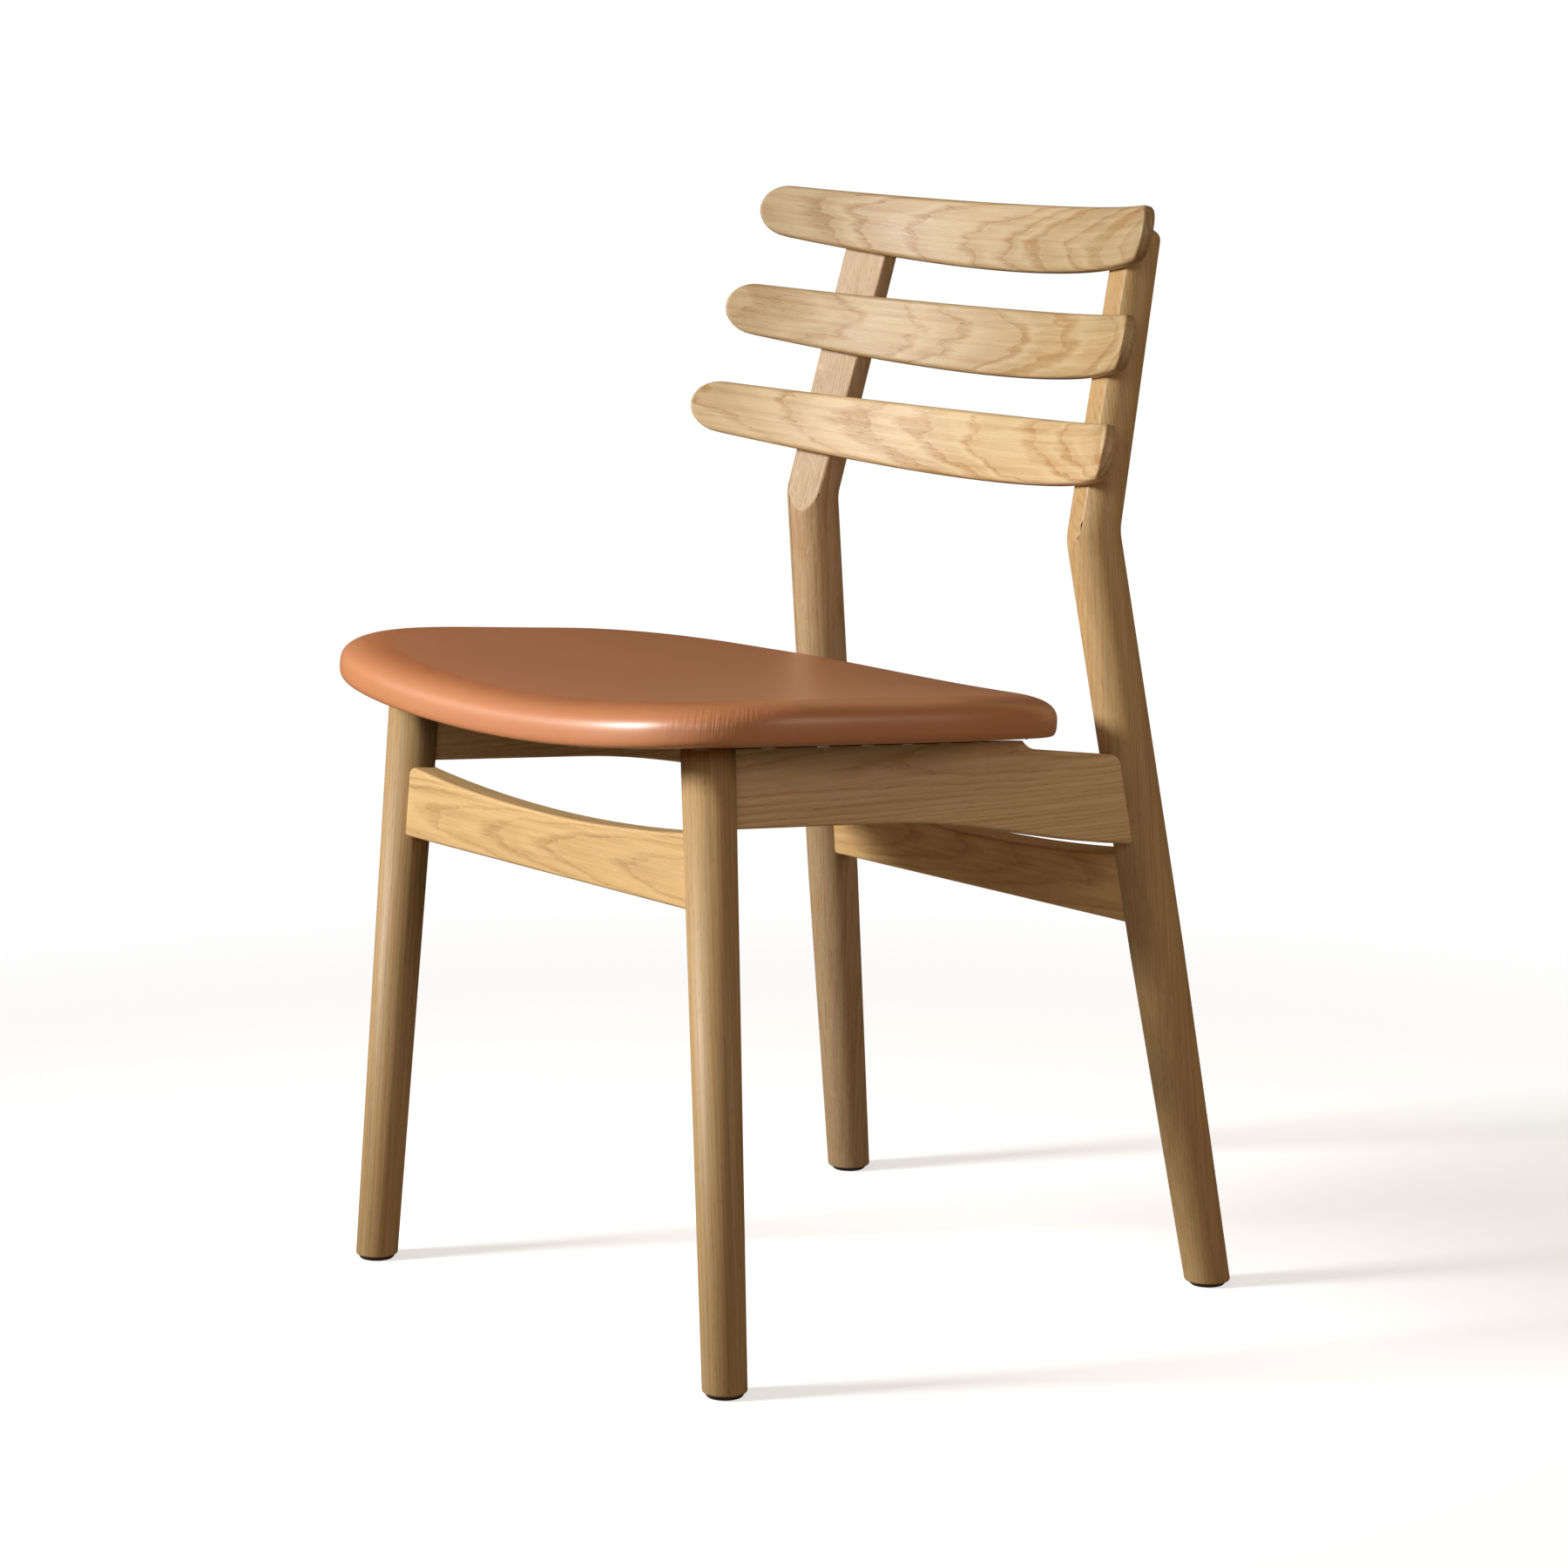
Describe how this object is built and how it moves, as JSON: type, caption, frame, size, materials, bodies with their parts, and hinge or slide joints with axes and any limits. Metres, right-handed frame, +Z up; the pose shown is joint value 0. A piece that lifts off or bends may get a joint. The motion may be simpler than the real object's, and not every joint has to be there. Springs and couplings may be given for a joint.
{
  "type": "dining chair",
  "caption": "Oak dining chair with round tapered legs, side frames that lean inward, curved back slats on planed flats, and a thin dished seat covered in brown leather.",
  "frame": {"origin": "on the floor, in the middle of the overall width and depth", "axes": "+X to the sitter's left (to the right seen from the front), +Y to the back, +Z up; the sitter faces -Y"},
  "size_m": [0.496, 0.5198, 0.7882],
  "materials": {
    "oak": "clear satin lacquer",
    "leather": "semi-gloss finished leather",
    "foam": "open-cell foam",
    "plywood": "sanded plywood",
    "dowel_beech": "fluted beech",
    "underlining": "black non-woven",
    "zinc_steel": "zinc plated",
    "black_steel": "black oxide",
    "brass": "plain",
    "glide_plastic": "matte"
  },
  "bodies": {
    "root": {"front_leg_left": "oak", "front_leg_right": "oak", "rear_leg_left": "oak", "rear_leg_right": "oak", "side_rail_left": "oak", "side_rail_right": "oak", "front_stretcher": "oak", "rear_stretcher": "oak", "bottom_slat": "oak", "middle_slat": "oak", "top_slat": "oak", "seat_shell": "plywood", "seat_foam": "foam", "seat_leather": "leather", "seat_underlining": "underlining", "cover_staples": "zinc_steel", "seat_screws": "black_steel", "seat_inserts": "brass", "rail_dowels": "dowel_beech", "stretcher_dowels": "dowel_beech", "slat_dowels": "dowel_beech", "front_glide_left": "glide_plastic", "front_glide_right": "glide_plastic", "rear_glide_left": "glide_plastic", "rear_glide_right": "glide_plastic", "glide_nails": "zinc_steel"}
  },
  "joints": []
}
